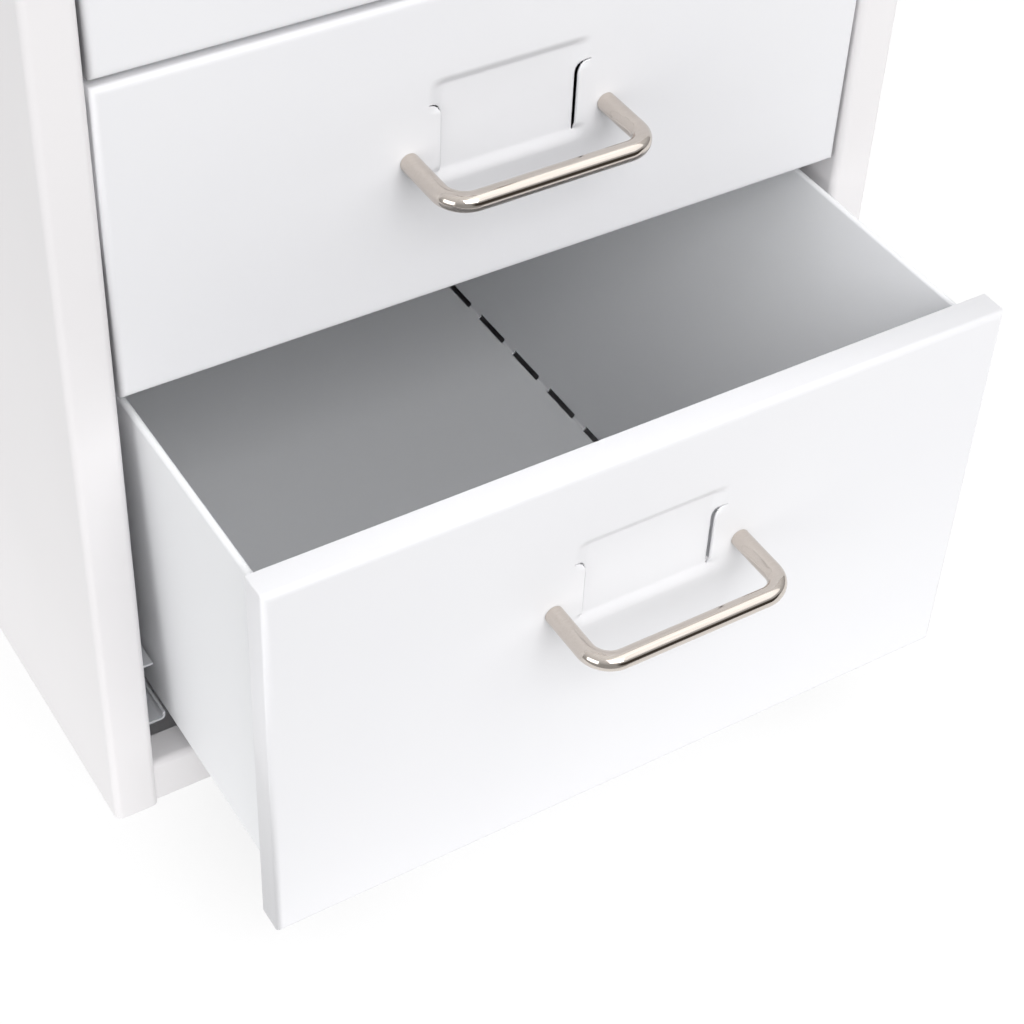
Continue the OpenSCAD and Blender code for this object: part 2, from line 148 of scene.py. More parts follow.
world = bpy.data.worlds.new("soft_room")
bpy.context.scene.world = world
world.use_nodes = True
room = world.node_tree
direction = add(room, "ShaderNodeTexCoord").outputs["Generated"]
height = add(room, "ShaderNodeSeparateXYZ", {"Vector": direction}).outputs["Z"]
sky = add(room, "ShaderNodeValToRGB", {"Fac": height})
sky.color_ramp.elements[0].color = linear(HORIZON_WHITE)
sky.color_ramp.elements[1].color = linear(ZENITH_WHITE)
facing = add(room, "ShaderNodeVectorMath", {0: direction}, operation="DOT_PRODUCT")
facing.inputs[1].default_value = PATCH_TOWARDS
across = add(room, "ShaderNodeMapRange", {"Value": facing.outputs["Value"]},
             From_Min=PATCH_END, From_Max=PATCH_FULL)
over = add(room, "ShaderNodeMapRange", {"Value": height},
           From_Min=PATCH_LOW - PATCH_BLUR, From_Max=PATCH_LOW)
under = add(room, "ShaderNodeMapRange", {"Value": height},
            From_Min=PATCH_HIGH, From_Max=PATCH_HIGH - PATCH_BLUR)
band = add(room, "ShaderNodeMath", {0: over.outputs["Result"], 1: under.outputs["Result"]},
           operation="MULTIPLY")
patch = add(room, "ShaderNodeMath", {0: across.outputs["Result"], 1: band.outputs["Value"]},
            operation="MULTIPLY")
walls = add(room, "ShaderNodeMix", {"Factor": patch.outputs["Value"], "A": sky.outputs["Color"]},
            data_type="RGBA", B=linear(DARK_PATCH))
room.links.new(walls.outputs["Result"], room.nodes["Background"].inputs["Color"])
room.nodes["Background"].inputs["Strength"].default_value = ROOM_STRENGTH
bpy.context.scene.view_settings.view_transform = "Standard"
print("nodes that make the room:", len(room.nodes))

# %% [markdown]
# Three panels of light model the folds. The widest, high on the right, draws the bright
# streak along the top of each handle. One in front lights the drawers' faces, and one
# low on the left keeps that side from going grey.

# %% Light panels
def soft_light(name, place, aim, size, watts):
    """A square panel of soft light that faces the point it is aimed at."""
    data = bpy.data.lights.new(name, "AREA")
    data.size = size
    data.energy = watts
    panel = bpy.data.objects.new(name, data)
    bpy.context.scene.collection.objects.link(panel)
    panel.location = place
    panel.rotation_euler = (Vector(aim) - Vector(place)).to_track_quat("-Z", "Y").to_euler()
    print(name, "metres from its aim:", round((Vector(aim) - Vector(place)).length, 2))


soft_light("key_light", place=(0.95, -1.25, 1.75), aim=(0, -0.25, 0.15), size=2.0, watts=10)
soft_light("front_light", place=(-0.2, -1.75, 1.35), aim=(0, -0.2, 0.15), size=1.2, watts=21.5)
soft_light("left_light", place=(-2.0, -0.9, 0.45), aim=(0, -0.1, 0.2), size=1.2, watts=10.5)

# %% [markdown]
# ## Floor
#
# The cabinet stands on white paper, turned towards the camera, which ends just in front
# of the open drawer. The paper gives off a little light of its own, so that it stays
# white even where the cabinet shades it. A wall to wall floor would light the open
# drawer's front from below until it was as white as the paper, and would leave no dark
# line for the handles to mirror.

# %% Paper floor
PAPER = ((-2, -0.4), (2, 4))         # corners in metres, before the sheet is turned
PAPER_TURN = math.radians(-29.8)
PAPER_GREY, PAPER_LIGHT = "#777777", "#FFFFFF"
PAPER_ROUGHNESS, PAPER_GLOW = 0.9, 0.78


def flat_sheet(bm, corners):
    """Adds one flat piece of sheet."""
    bmesh.ops.contextual_create(bm, geom=[bm.verts.new(c) for c in corners])


(x0, y0), (x1, y1) = PAPER
paper_sheet = bmesh.new()
flat_sheet(paper_sheet, [(x0, y0, 0), (x1, y0, 0), (x1, y1, 0), (x0, y1, 0)])
bmesh.ops.rotate(paper_sheet, verts=paper_sheet.verts[:],
                 matrix=Matrix.Rotation(PAPER_TURN, 3, "Z"))
floor = bpy.data.objects.new("floor", bpy.data.meshes.new("floor"))
paper_sheet.to_mesh(floor.data)
paper_sheet.free()
bpy.context.scene.collection.objects.link(floor)

paper, _, paper_shader = blank_finish("white_paper")
paper_shader.inputs["Base Color"].default_value = linear(PAPER_GREY)
paper_shader.inputs["Roughness"].default_value = PAPER_ROUGHNESS
paper_shader.inputs["Emission Color"].default_value = linear(PAPER_LIGHT)
paper_shader.inputs["Emission Strength"].default_value = PAPER_GLOW
floor.data.materials.append(paper)
print("paper in metres:", x1 - x0, "by", y1 - y0)

# %% [markdown]
# ## Finishes
#
# Powder coat is a polyester powder, charged, blown onto the steel and melted in an
# oven. It flows out almost flat, but not quite: it keeps a faint ripple, called orange
# peel, about a millimetre and a half across. It could be an image of noise, but noise
# worked out in the object's own space has no seams where the sheet is folded.
#
# The carcass, the fronts and the trays go through the oven in one colour. The trays and the
# runners get a thinner coat, a touch more matt, and the runners are greyer. The trays'
# white is a touch lighter and bluer than the carcass's: that is painted light, which lifts
# the shade inside an open drawer and gives it the blue cast of that shade.

# %% Powder coat
PEEL_SIZE = 1.6 * MM     # across one ripple
GRAIN_SIZE = 0.5 * MM    # the powder's own grain, drawn coarse enough to show
PEEL_DEPTH, PEEL_STRENGTH = 0.02 * MM, 0.35
HAND_SIZE = 70 * MM      # across a patch that hands have rubbed a little smoother
RUB = 0.05               # roughness that rubbing takes away, or its lack adds
COAT_IOR, COAT_SPECULAR = 1.5, 0.35  # the matt coat mirrors less than its resin would


def powder_coat(name, colour, shade, roughness):
    """White coat: fine ripple, a little grain, and slightly uneven gloss."""
    coat, tree, shader = blank_finish(name)
    place = add(tree, "ShaderNodeTexCoord").outputs["Object"]
    ripple = add(tree, "ShaderNodeTexNoise", {"Vector": place}, Scale=1 / PEEL_SIZE, Detail=1.0)
    grain = add(tree, "ShaderNodeTexNoise", {"Vector": place}, Scale=1 / GRAIN_SIZE, Detail=0.0)
    patches = add(tree, "ShaderNodeTexNoise", {"Vector": place}, Scale=1 / HAND_SIZE, Detail=2.0)
    relief = add(tree, "ShaderNodeMath", {0: ripple.outputs["Fac"], 1: grain.outputs["Fac"]},
                 operation="ADD")
    bump = add(tree, "ShaderNodeBump", {"Height": relief.outputs["Value"]},
               Strength=PEEL_STRENGTH, Distance=PEEL_DEPTH)
    tint = add(tree, "ShaderNodeMix", {"Factor": patches.outputs["Fac"]}, data_type="RGBA",
               A=linear(colour), B=linear(shade))
    gloss = add(tree, "ShaderNodeMapRange", {"Value": patches.outputs["Fac"]},
                To_Min=roughness - RUB, To_Max=roughness + RUB)
    tree.links.new(tint.outputs["Result"], shader.inputs["Base Color"])
    tree.links.new(gloss.outputs["Result"], shader.inputs["Roughness"])
    tree.links.new(bump.outputs["Normal"], shader.inputs["Normal"])
    shader.inputs["IOR"].default_value = COAT_IOR
    shader.inputs["Specular IOR Level"].default_value = COAT_SPECULAR
    print(name, "roughness:", roughness)
    return coat


cabinet_coat = powder_coat("white_powder_coat_carcass", "#E6E4E5", "#E3E1E2", 0.38)
front_coat = powder_coat("white_powder_coat_fronts", "#E5E5E7", "#E2E2E5", 0.42)
# The trays' lighter, bluer white is painted light for the shaded inside of a drawer.
tray_coat = powder_coat("white_powder_coat_trays", "#EAEBED", "#E6E7E9", 0.44)
runner_coat = powder_coat("thin_coat_runners", "#D6D7DA", "#C9CBCF", 0.4)

# %% [markdown]
# Nickel is plated on the polished wire. It is a warm, bright metal. Drawing the wire
# through its die leaves faint lines along it, which smear what it mirrors a little. The
# nickel's warm colour and the brown of its darker streaks are partly its own and partly
# painted reflection of the warm room that the polished wire mirrors.
# Zinc is plated on the screws and rivets. It is bluer and duller, and it sets in small
# clouded patches. One recipe does for both, because only the pattern's size and its
# stretch along the wire differ.

# %% Plated metal
DRAW_LINE = 0.35 * MM    # between the drawing lines, round the wire
DRAW_STRETCH = 30        # how many times longer a line is than it is wide
CRYSTAL = 2.5 * MM       # across a patch of zinc
PLATE_STRENGTH = 0.3
SMEAR = 0.3              # share of the roughness that it varies by, either way


def plated_metal(name, colour, shade, roughness, size, stretch, relief):
    """Bright plating. Its pattern is drawn out along X by the stretch."""
    metal, tree, shader = blank_finish(name)
    place = add(tree, "ShaderNodeTexCoord").outputs["Object"]
    drawn = add(tree, "ShaderNodeMapping", {"Vector": place}, Scale=(1 / stretch, 1, 1))
    lines = add(tree, "ShaderNodeTexNoise", {"Vector": drawn.outputs["Vector"]},
                Scale=1 / size, Detail=3.0)
    tint = add(tree, "ShaderNodeMix", {"Factor": lines.outputs["Fac"]}, data_type="RGBA",
               A=linear(colour), B=linear(shade))
    gloss = add(tree, "ShaderNodeMapRange", {"Value": lines.outputs["Fac"]},
                To_Min=roughness * (1 - SMEAR), To_Max=roughness * (1 + SMEAR))
    bump = add(tree, "ShaderNodeBump", {"Height": lines.outputs["Fac"]},
               Strength=PLATE_STRENGTH, Distance=relief)
    tree.links.new(tint.outputs["Result"], shader.inputs["Base Color"])
    tree.links.new(gloss.outputs["Result"], shader.inputs["Roughness"])
    tree.links.new(bump.outputs["Normal"], shader.inputs["Normal"])
    shader.inputs["Metallic"].default_value = 1.0
    print(name, "roughness:", roughness)
    return metal


# Its warm colour and brown streaks are partly nickel's own and partly painted reflection of the
# room.
handle_nickel = plated_metal("polished_nickel_with_painted_reflection", "#D8D1CB", "#C5BBB1", 0.11,
                             size=DRAW_LINE, stretch=DRAW_STRETCH, relief=0.0015 * MM)
bright_zinc = plated_metal("bright_zinc_plate", "#C5C9CE", "#B4B8BF", 0.3,
                           size=CRYSTAL, stretch=1, relief=0.01 * MM)

# %% [markdown]
# The glides are moulded nylon. Light enters it a little way and comes out again, which
# makes it look milky where steel looks hard, so its shader is given some subsurface
# light. The mould's ground walls leave it covered in shallow pits.

# %% Moulded nylon
MILK, CREAM = "#F1EFE6", "#E6E3D8"
CLOUD = 9 * MM           # across a patch of one of the two colours
MOULD_GRAIN = 0.6 * MM   # across one pit
PIT_DEPTH, PIT_STRENGTH = 0.02 * MM, 0.2
NYLON_ROUGHNESS = 0.42
LIGHT_TAKEN, LIGHT_REACH = 0.15, 2 * MM

nylon, nylon_tree, nylon_shader = blank_finish("natural_moulded_nylon")
nylon_place = add(nylon_tree, "ShaderNodeTexCoord").outputs["Object"]
mould = add(nylon_tree, "ShaderNodeTexNoise", {"Vector": nylon_place}, Scale=1 / MOULD_GRAIN)
cloud = add(nylon_tree, "ShaderNodeTexNoise", {"Vector": nylon_place}, Scale=1 / CLOUD)
milk = add(nylon_tree, "ShaderNodeMix", {"Factor": cloud.outputs["Fac"]}, data_type="RGBA",
           A=linear(MILK), B=linear(CREAM))
pits = add(nylon_tree, "ShaderNodeBump", {"Height": mould.outputs["Fac"]},
           Strength=PIT_STRENGTH, Distance=PIT_DEPTH)
nylon_tree.links.new(milk.outputs["Result"], nylon_shader.inputs["Base Color"])
nylon_tree.links.new(pits.outputs["Normal"], nylon_shader.inputs["Normal"])
nylon_shader.inputs["Roughness"].default_value = NYLON_ROUGHNESS
nylon_shader.inputs["Subsurface Weight"].default_value = LIGHT_TAKEN
nylon_shader.inputs["Subsurface Scale"].default_value = LIGHT_REACH
print("light goes into the nylon, in mm:", LIGHT_REACH / MM)

# %% [markdown]
# Each solid gets the finish that the part's record names for it. A remade piece takes
# its finish from the same table, so the two always agree.

# %% Dress the solids
FINISHES = {"cabinet_coat": cabinet_coat, "front_coat": front_coat, "tray_coat": tray_coat,
            "runner_coat": runner_coat, "handle_wire": handle_nickel,
            "zinc_fasteners": bright_zinc, "nylon": nylon}

for part in frame["record"]["subparts"]:
    node = frame["nodes"][part["node"]]
    node.data.materials.clear()
    node.data.materials.append(FINISHES[part["material_slot"]])
print("finishes:", len(FINISHES))

# %% [markdown]
# ## Sheet metal
#
# Nearly all of the cabinet is 0.8 mm steel, cut flat and folded on a press brake. A
# fold could be faked by shading, but a real fold catches a line of light along its
# bend, so each sheet is made as the brake makes it: a flat strip, folded at its
# corners, each fold rounded to its radius, and only then given its thickness.

# %% Strip, folds and cuts
SHEET = 0.8 * MM
CREASE = math.radians(35)    # a piece's edge that turns more than this is a cut edge
FOLD = CREASE / 4            # a thin sheet that turns more than this is folded there
SAME_TURN = 0.01             # radians between turns that are rounded together
BEND_STEPS = 6


def only(kind, geom):
    """The vertices, or the edges, among the things that an operator made."""
    return [g for g in geom if isinstance(g, kind)]


def swept_strip(bm, corners, sweep):
    """Adds a strip of sheet through the corners, drawn out along the sweep."""
    line = [bm.verts.new(c) for c in corners]
    edges = [bm.edges.new(pair) for pair in zip(line, line[1:])]
    drawn = bmesh.ops.extrude_edge_only(bm, edges=edges)["geom"]
    bmesh.ops.translate(bm, verts=only(bmesh.types.BMVert, drawn), vec=sweep)


def round_folds(bm, radius, chosen=lambda edge: True):
    """Rounds each fold between two faces to the radius, measured on the sheet's middle.
    Folds that turn alike are rounded together, and all are marked first, because a bevel
    makes new edges."""
    mark = bm.edges.layers.int.new("fold")
    folds = [e for e in bm.edges if len(e.link_faces) == 2 and e.calc_face_angle() > FOLD
             and chosen(e)]
    turns = sorted({round(e.calc_face_angle(), 3) for e in folds})
    for e in folds:
        e[mark] = 1 + turns.index(round(e.calc_face_angle(), 3))
    for number, turn in enumerate(turns, 1):
        alike = [e for e in bm.edges if e[mark] == number and len(e.link_faces) == 2
                 and abs(e.calc_face_angle() - turn) < SAME_TURN]
        bmesh.ops.bevel(bm, geom=alike, offset=radius * math.tan(turn / 2), offset_type="OFFSET",
                        segments=BEND_STEPS, profile=0.5, affect="EDGES", material=-1)
    bm.edges.layers.int.remove(mark)


def cut_planes(bm, axis, places, chosen=lambda face: True):
    """Cuts the chosen faces along planes square to an axis."""
    for place in places:
        at, normal = Vector((0, 0, 0)), Vector((0, 0, 0))
        at[axis], normal[axis] = place, 1
        faces = [f for f in bm.faces if chosen(f)]
        edges = {e for f in faces for e in f.edges}
        corners = {v for f in faces for v in f.verts}
        bmesh.ops.bisect_plane(bm, geom=[*faces, *edges, *corners], plane_co=at,
                               plane_no=normal, dist=TOUCH / 10)


print("a fold turns more than, in degrees:", round(math.degrees(FOLD), 2))

# %% [markdown]
# One function finishes every remade piece. Solidify gives a sheet its thickness, a
# small bevel takes the sharpness off cut edges, as deburring and the coat do, and
# weighted normals keep large flats flat where they meet a bend. Solidify's even wall
# suits plain folds, but it would push out spikes at the corners of a slit.

# %% From a mesh to a piece
BURR = 0.12 * MM         # rounding left on a cut edge
BURR_STEPS = 2


def finished(bm, name, body, slot, replaced, thickness=None, burr=BURR, even=True):
    """Makes a mesh into a piece: its thickness, soft edges, finish, and what carries it."""
    mesh = bpy.data.meshes.new(name)
    bm.to_mesh(mesh)
    bm.free()
    mesh.materials.append(FINISHES[slot])
    mesh.shade_smooth()
    piece = bpy.data.objects.new(name, mesh)
    bpy.context.scene.collection.objects.link(piece)
    if thickness:
        wall = piece.modifiers.new("wall", "SOLIDIFY")
        wall.thickness, wall.offset, wall.use_even_offset = thickness, 0, even
    if burr:
        edge = piece.modifiers.new("soft_edge", "BEVEL")
        edge.width, edge.segments = burr, BURR_STEPS
        edge.limit_method, edge.angle_limit = "ANGLE", CREASE
    flat = piece.modifiers.new("flat_faces", "WEIGHTED_NORMAL")
    flat.keep_sharp = True
    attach(piece, body)
    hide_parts(*replaced)


print("rounding of a cut edge in mm:", BURR / MM)

# %% [markdown]
# ## Carcass
#
# Each side is one sheet. At the front it is folded round into the post that the
# drawers shut between, with an inner return, and at the back into a flange for the
# back's screws. The return is notched where the runners pass through it. The bends show
# as soft bright lines down the posts.

# %% Notches in a post
NOTCH_GAP = 0.5 * MM     # between a notch and the runner that passes through it


def notch_return(panel, opening, runners):
    """Cuts a notch for each runner into the post's return, which lies at the opening."""
    def on_return(face):
        return all(abs(abs(v.co.x) - opening) < TOUCH for v in face.verts)

    notch_y = runners[0][0].y - NOTCH_GAP
    heights = [(near.z - NOTCH_GAP, far.z + NOTCH_GAP) for near, far in runners]
    cut_planes(panel, 2, [z for pair in heights for z in pair], on_return)
    cut_planes(panel, 1, [notch_y], on_return)
    notches = []
    for face in panel.faces:
        at = face.calc_center_median()
        if on_return(face) and at.y > notch_y and any(a < at.z < b for a, b in heights):
            notches.append(face)
    bmesh.ops.delete(panel, geom=notches, context="FACES")
    print("notches in a return:", len(notches))


# %% Side panels
SHELL_BEND = 2 * MM
POST = 15 * MM
POST_RETURN = 20 * MM
FLANGE = 15 * MM

for side, name in ((-1, "left_side_panel"), (1, "right_side_panel")):
    low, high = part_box(name)
    outside = max(abs(low.x), abs(high.x))
    wall = outside - SHEET / 2
    opening = outside - POST + SHEET / 2
    inner = wall - SHEET / 2 - FLANGE
    front_y, back_y, return_y = low.y + SHEET / 2, high.y - SHEET / 2, low.y + POST_RETURN
    panel = bmesh.new()
    swept_strip(panel, [(side * opening, return_y, low.z), (side * opening, front_y, low.z),
                        (side * wall, front_y, low.z), (side * wall, back_y, low.z),
                        (side * inner, back_y, low.z)], (0, 0, high.z - low.z))
    round_folds(panel, SHELL_BEND)
    runner_name = name.split("_")[0] + "_runner"
    notch_return(panel, opening, [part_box(n) for n in frame["nodes"] if n.startswith(runner_name)])
    top = high.z - SHEET / 2
    flat_sheet(panel, [(side * inner, return_y, top), (side * wall, return_y, top),
                       (side * wall, back_y, top), (side * inner, back_y, top)])
    finished(panel, "folded_" + name, "cabinet", "cabinet_coat", [name], SHEET)

# %% [markdown]
# Two rails tie the sides together at the front, one under the lowest drawer and one
# over the highest. Each is a channel that opens to the back, and its ends run into the
# posts' sheet, where they are welded.

# %% Rails
for name in ("base_rail", "top_rail"):
    low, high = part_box(name)
    front_y, lower, upper = low.y + SHEET / 2, low.z + SHEET / 2, high.z - SHEET / 2
    end = low.x - SHEET
    rail = bmesh.new()
    swept_strip(rail, [(end, high.y, lower), (end, front_y, lower), (end, front_y, upper),
                       (end, high.y, upper)], (-2 * end, 0, 0))
    round_folds(rail, SHELL_BEND)
    finished(rail, "folded_" + name, "cabinet", "cabinet_coat", [name], SHEET)
    print(name, "height in mm:", round((high.z - low.z) / MM, 1))

# %% [markdown]
# The lid is a flat sheet whose edges are folded under and pressed shut. This hem
# stiffens it and leaves a round edge that doesn't cut hands. With no space left in the
# hem that could be seen, it is made as a plate with a round nose and a step under it.

# %% Lid
HEM = 10 * MM
NOSE_SHARE = 0.45        # radius of the nose, as a share of the hem's thickness

low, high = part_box("top_panel")
lid = bmesh.new()
bmesh.ops.create_cube(lid, size=1)
bmesh.ops.scale(lid, vec=high - low, verts=lid.verts[:])
bmesh.ops.translate(lid, vec=(high + low) / 2, verts=lid.verts[:])
under = [f for f in lid.faces if f.normal.z < -0.5]
bmesh.ops.inset_region(lid, faces=under, thickness=HEM)
raised = bmesh.ops.extrude_face_region(lid, geom=under)["geom"]
bmesh.ops.translate(lid, vec=(0, 0, high.z - SHEET - low.z),
                    verts=only(bmesh.types.BMVert, raised))
bmesh.ops.delete(lid, geom=under, context="FACES")
nose = [e for e in lid.edges if abs(e.verts[0].co.z - e.verts[1].co.z) < TOUCH
        and all(abs(abs(v.co.x) - high.x) < TOUCH for v in e.verts)]
bmesh.ops.bevel(lid, geom=nose, offset=(high.z - low.z) * NOSE_SHARE, segments=BEND_STEPS,
                profile=0.5, affect="EDGES", material=-1)
bmesh.ops.recalc_face_normals(lid, faces=lid.faces[:])
finished(lid, "hemmed_lid", "cabinet", "cabinet_coat", ["top_panel"])
print("lid thickness in mm:", round((high.z - low.z) / MM, 2))

# %% [markdown]
# ## Runners
#
# A runner is a channel, open towards the drawer, with a lip along its lower flange
# that keeps the glide from wandering off, and a stop folded up at each end. The upper
# flange may be narrower than the lower one, so its edge is read from the solid.

# %% Runners
RUNNER_SHEET = 1 * MM
RUNNER_BEND = 1.2 * MM
RUNNER_LIP = 2.5 * MM
STOP_HEIGHT = 6 * MM
STOP_WIDTH = 12 * MM

for name in [n for n in frame["nodes"] if "_runner_" in n]:
    low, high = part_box(name)
    side = -1 if name.startswith("left") else 1
    wall = max(abs(low.x), abs(high.x)) - RUNNER_SHEET / 2
    lip = min(abs(low.x), abs(high.x)) + RUNNER_SHEET / 2
    corners = [v.co for v in frame["nodes"][name].data.vertices]
    ledge = min(abs(co.x) for co in corners if co.z > high.z - 10 * TOUCH)
    lower, upper = low.z + RUNNER_SHEET / 2, high.z - RUNNER_SHEET / 2
    runner = bmesh.new()
    swept_strip(runner, [(side * lip, low.y, low.z + RUNNER_SHEET + RUNNER_LIP),
                         (side * lip, low.y, lower), (side * wall, low.y, lower),
                         (side * wall, low.y, upper), (side * ledge, low.y, upper)],
                (0, high.y - low.y, 0))
    round_folds(runner, RUNNER_BEND)
    near, stop_z = wall + RUNNER_SHEET / 2 - STOP_WIDTH, low.z + STOP_HEIGHT
    for y in (low.y + RUNNER_SHEET / 2, high.y - RUNNER_SHEET / 2):
        flat_sheet(runner, [(side * near, y, lower), (side * wall, y, lower),
                            (side * wall, y, stop_z), (side * near, y, stop_z)])
    finished(runner, "folded_" + name, "cabinet", "runner_coat", [name], RUNNER_SHEET)
print("runner length in mm:", round((high.y - low.y) / MM, 1))

# %% [markdown]
# ## Trays
#
# Each drawer is one long strip with four flats on each side of its floor: the inner
# side slopes up from the slotted fold, turns over the rim, comes down outside as a
# second skin, and ends in a lip. The slots let so long a fold be bent true by hand.

# %% Slots along the folds
SLOT_WIDTH = 2.4 * MM
SLOT_LENGTH = 17.6 * MM
SLOT_PITCH = 25.2 * MM
SLOT_START = 25.9 * MM


def cut_slots(tray, low, high, fold):
    """Cuts a row of slots along both folds of the floor, and returns how many each has."""
    count = int((high.y - low.y - SLOT_LENGTH - 2 * SLOT_START) / SLOT_PITCH + TOUCH) + 1
    starts = [low.y + SLOT_START + k * SLOT_PITCH for k in range(count)]
    reach = SLOT_WIDTH / 2
    above = low.z + SHEET + reach
    cut_planes(tray, 0, (reach - fold, fold - reach))
    cut_planes(tray, 2, (above,))
    cut_planes(tray, 1, [y for start in starts for y in (start, start + SLOT_LENGTH)])
    slots = []
    for face in tray.faces:
        at = face.calc_center_median()
        in_row = any(start < at.y < start + SLOT_LENGTH for start in starts)
        if in_row and abs(abs(at.x) - fold) < reach and at.z < above:
            slots.append(face)
    bmesh.ops.delete(tray, geom=slots, context="FACES")
    return count


# %% Trays
TRAY_BEND = 1.4 * MM
RIM_RADIUS = 0.68 * MM
RIM_SPACE = 0.6 * MM     # between the two skins, under the rim
OUTER_LEAN = math.tan(math.radians(2))
INNER_LEAN = math.tan(math.radians(17.25))
FOOT_LIP = 8 * MM
BACK_DROP = 10 * MM      # that the back is lower than the rims
FLOOR_FLANGE = 9 * MM

for i in range(1, 6):
    name = f"drawer_{i}_tray"
    low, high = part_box(name)
    floor_z, rim_z, back_z = low.z + SHEET / 2, high.z - SHEET / 2, high.z - BACK_DROP
    front_y, back_y = low.y + SHEET / 2, high.y - SHEET / 2
    out_rim = high.x - SHEET / 2
    out_foot = out_rim - (rim_z - floor_z) * OUTER_LEAN
    in_rim = high.x - 1.5 * SHEET - RIM_SPACE
    fold = in_rim - (rim_z - floor_z) * INNER_LEAN
    back_x = out_foot + (back_z - floor_z) * OUTER_LEAN
    half = [(fold, floor_z), (in_rim, rim_z), (out_rim, rim_z), (out_foot, floor_z),
            (out_foot - FOOT_LIP, floor_z)]
    line = [(-x, low.y, z) for x, z in reversed(half)] + [(x, low.y, z) for x, z in half]
    tray = bmesh.new()
    swept_strip(tray, line, (0, high.y - low.y, 0))
    round_folds(tray, RIM_RADIUS, lambda e: e.verts[0].co.z > rim_z - MM)
    round_folds(tray, TRAY_BEND, lambda e: e.verts[0].co.z < floor_z + MM)
    count = cut_slots(tray, low, high, fold)
    flat_sheet(tray, [(-out_foot, back_y, floor_z), (out_foot, back_y, floor_z),
                      (back_x, back_y, back_z), (-back_x, back_y, back_z)])
    for side in (-1, 1):
        flat_sheet(tray, [(side * fold, front_y, floor_z), (side * out_foot, front_y, floor_z),
                          (side * out_rim, front_y, rim_z), (side * in_rim, front_y, rim_z)])
    flange_z = floor_z + FLOOR_FLANGE
    flat_sheet(tray, [(-fold, front_y, floor_z), (fold, front_y, floor_z),
                      (fold, front_y, flange_z), (-fold, front_y, flange_z)])
    finished(tray, f"folded_tray_{i}", f"drawer_{i}", "tray_coat", [name], SHEET)
print("slots along a fold:", count)

# %% [markdown]
# ## Fronts
#
# A front is pressed in one stroke of a tool that draws the label pocket, slits the
# sheet beside it and leaves two flaps standing for the card to slip behind. The pocket
# could be cut in with a boolean, but a press never leaves a hard edge: its walls are
# slopes that melt into the face. So the face is a fine grid that is pushed in by a
# smooth depth, and only along the slits is the sheet parted.
#
# Below, x counts from the middle of the pocket and v down from its top edge.

# %% Pocket shape
POCKET_W, POCKET_H = 53 * MM, 34.5 * MM
POCKET_DROP = 27 * MM    # from the front's top down to the pocket
POCKET_DEPTH = 1.5 * MM
SIDE_IN, SIDE_OUT = 5.5 * MM, 0.5 * MM       # a side's slope, in and out from the edge
TOP_OUT, TOP_IN = 0.8 * MM, 3 * MM           # the top's slope, up and down from the edge
RAMP = 4 * MM            # height of the slope at the pocket's foot
RAMP_SOFT = 0.4 * MM     # that it runs on past both of its ends
FLAP_W, FLAP_DROP = 3.9 * MM, 8 * MM
SLIT = 0.5 * MM          # width of a slit
SLIT_BEND = 4.4 * MM     # radius in which it turns outwards over its flap
SLIT_TOP = FLAP_DROP - SLIT
SLIT_FOOT = POCKET_H - RAMP + 0.8 * MM
PARTING = 3 * MM         # length over which the sheet beside a slit parts
SLIT_X = POCKET_W / 2 - FLAP_W - SLIT / 2
SLIT_TURN = Vector((SLIT_X + SLIT_BEND, FLAP_DROP - SLIT / 2 + SLIT_BEND))


def smooth(value, start, end):
    """0 up to the start, 1 from the end, and a soft step between."""
    t = min(max((value - start) / (end - start), 0), 1)
    return t * t * (3 - 2 * t)


def slit_offset(x, v):
    """Distance from the middle of the slit, positive on the flap's side."""
    if v >= SLIT_TURN.y:
        return x - SLIT_X
    return SLIT_BEND - math.hypot(x - SLIT_TURN.x, v - SLIT_TURN.y)


def pressed_depth(x, v):
    """How far the press pushes the face in, for half of the pocket."""
    side = 1 - smooth(x, POCKET_W / 2 - SIDE_IN, POCKET_W / 2 + SIDE_OUT)
    top = smooth(v, -TOP_OUT, TOP_IN)
    foot = 1 - smooth(v, POCKET_H - RAMP - RAMP_SOFT, POCKET_H + RAMP_SOFT)
    soft = side * top * foot
    parted = smooth(v, SLIT_TOP, FLAP_DROP + PARTING)
    parted *= 1 - smooth(v, SLIT_FOOT - PARTING, SLIT_FOOT)
    sharp = 0
    if slit_offset(x, v) < 0:
        sharp = foot
        parted *= 1 - smooth(x, POCKET_W / 2 - FLAP_W, POCKET_W / 2)
    return POCKET_DEPTH * (soft + (sharp - soft) * parted)


print("depth in mm in the middle of the pocket:",
      round(pressed_depth(0, POCKET_H / 2) / MM, 2))

# %% [markdown]
# The grid is coarse in the middle of the pocket, where it is flat, and fine round the
# slits. It is laid by cutting the face along planes, as a subdivided grid would be
# fine everywhere.

# %% Grid of cuts
WIDE, COARSE, FINE = 4 * MM, 0.55 * MM, 0.25 * MM
BESIDE_SLIT = 4 * MM     # from the slit to where the grid turns coarse
ABOVE_FLAP = 2 * MM
PAST_EDGE = 1 * MM       # that the grid runs on past the pocket


def steps(marks):
    """Places from the first mark to the last, with a step size for each stretch."""
    places = [marks[0][0]]
    for (start, size), (end, _) in zip(marks, marks[1:]):
        count = max(1, round((end - start) / size))
        places += [start + (end - start) * (k + 1) / count for k in range(count)]
    return places


